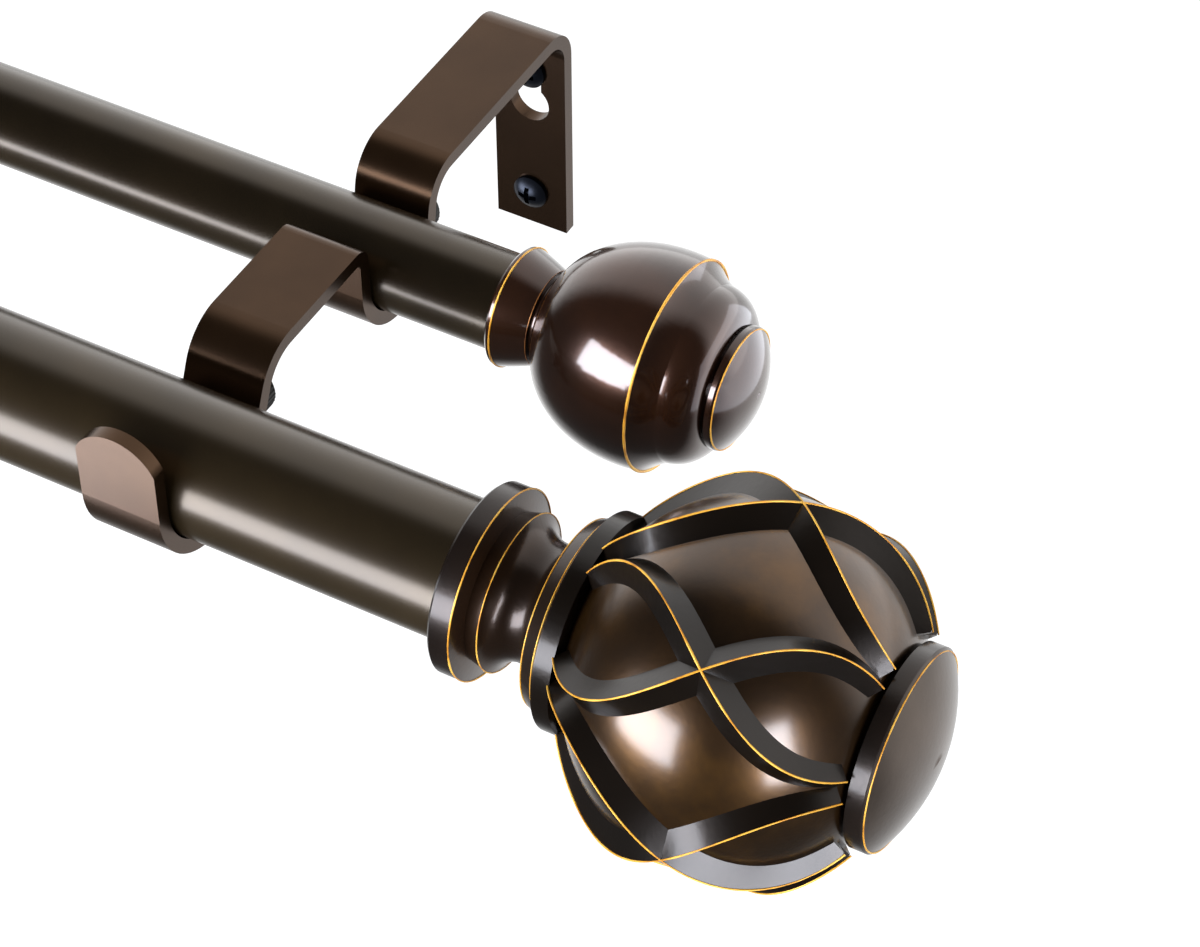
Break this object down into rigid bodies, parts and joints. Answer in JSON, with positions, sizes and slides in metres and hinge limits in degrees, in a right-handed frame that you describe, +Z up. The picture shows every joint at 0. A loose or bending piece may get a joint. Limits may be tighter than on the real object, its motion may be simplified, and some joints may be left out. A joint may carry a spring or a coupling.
{
  "type": "double curtain pole",
  "caption": "Double telescoping curtain pole on folded strip brackets, with a ribbed ball finial in front and a plain ball finial behind.",
  "frame": {"origin": "middle of the four wall screws, on the wall's face", "axes": "+X along the poles towards the right-hand finials, -Y into the room, +Z up"},
  "size_m": [0.8756, 0.172, 0.0765],
  "materials": {
    "painted_steel": "satin bronze-brown paint on steel tube",
    "bracket_steel": "satin bronze-brown powder paint on folded strip",
    "front_finial": "lacquered dark bronze resin with gold edge lines",
    "back_finial": "glossy dark bronze resin with gold edge lines",
    "plug": "moulded black plastic",
    "stud": "zinc plated",
    "wall_screw": "blackened steel",
    "thumb_screw": "black knurled steel"
  },
  "bodies": {
    "fixed_frame": {"bracket_right": "bracket_steel", "bracket_left": "bracket_steel", "upper_wall_screw_right": "wall_screw", "upper_wall_screw_left": "wall_screw", "lower_wall_screw_right": "wall_screw", "lower_wall_screw_left": "wall_screw", "front_outer_tube": "painted_steel", "back_outer_tube": "painted_steel", "front_plug_right": "plug", "front_stud_right": "stud", "front_finial_right": "front_finial", "back_plug_right": "plug", "back_stud_right": "stud", "back_finial_right": "back_finial"},
    "front_slider": {"front_inner_tube": "painted_steel", "front_plug_left": "plug", "front_stud_left": "stud", "front_finial_left": "front_finial"},
    "back_slider": {"back_inner_tube": "painted_steel", "back_plug_left": "plug", "back_stud_left": "stud", "back_finial_left": "back_finial"},
    "front_clamp_right": {"front_thumb_screw_right": "thumb_screw"},
    "front_clamp_left": {"front_thumb_screw_left": "thumb_screw"},
    "back_clamp_right": {"back_thumb_screw_right": "thumb_screw"},
    "back_clamp_left": {"back_thumb_screw_left": "thumb_screw"}
  },
  "joints": [
    {"name": "front_pole_slide", "type": "slide", "parent": "fixed_frame", "child": "front_slider", "axis": [-1, 0, 0], "range_m": [0, 0.5]},
    {"name": "back_pole_slide", "type": "slide", "parent": "fixed_frame", "child": "back_slider", "axis": [-1, 0, 0], "range_m": [0, 0.5]},
    {"name": "front_thumb_turn_right", "type": "hinge", "parent": "fixed_frame", "child": "front_clamp_right", "pos_m": [0.2912, -0.1275, 0.0154], "axis": [0, 1, 0], "range_deg": [0, 720]},
    {"name": "front_thumb_turn_left", "type": "hinge", "parent": "fixed_frame", "child": "front_clamp_left", "pos_m": [-0.2912, -0.1275, 0.0154], "axis": [0, 1, 0], "range_deg": [0, 720]},
    {"name": "back_thumb_turn_right", "type": "hinge", "parent": "fixed_frame", "child": "back_clamp_right", "pos_m": [0.2912, -0.065, 0.0143], "axis": [0, 1, 0], "range_deg": [0, 720]},
    {"name": "back_thumb_turn_left", "type": "hinge", "parent": "fixed_frame", "child": "back_clamp_left", "pos_m": [-0.2912, -0.065, 0.0143], "axis": [0, 1, 0], "range_deg": [0, 720]}
  ]
}
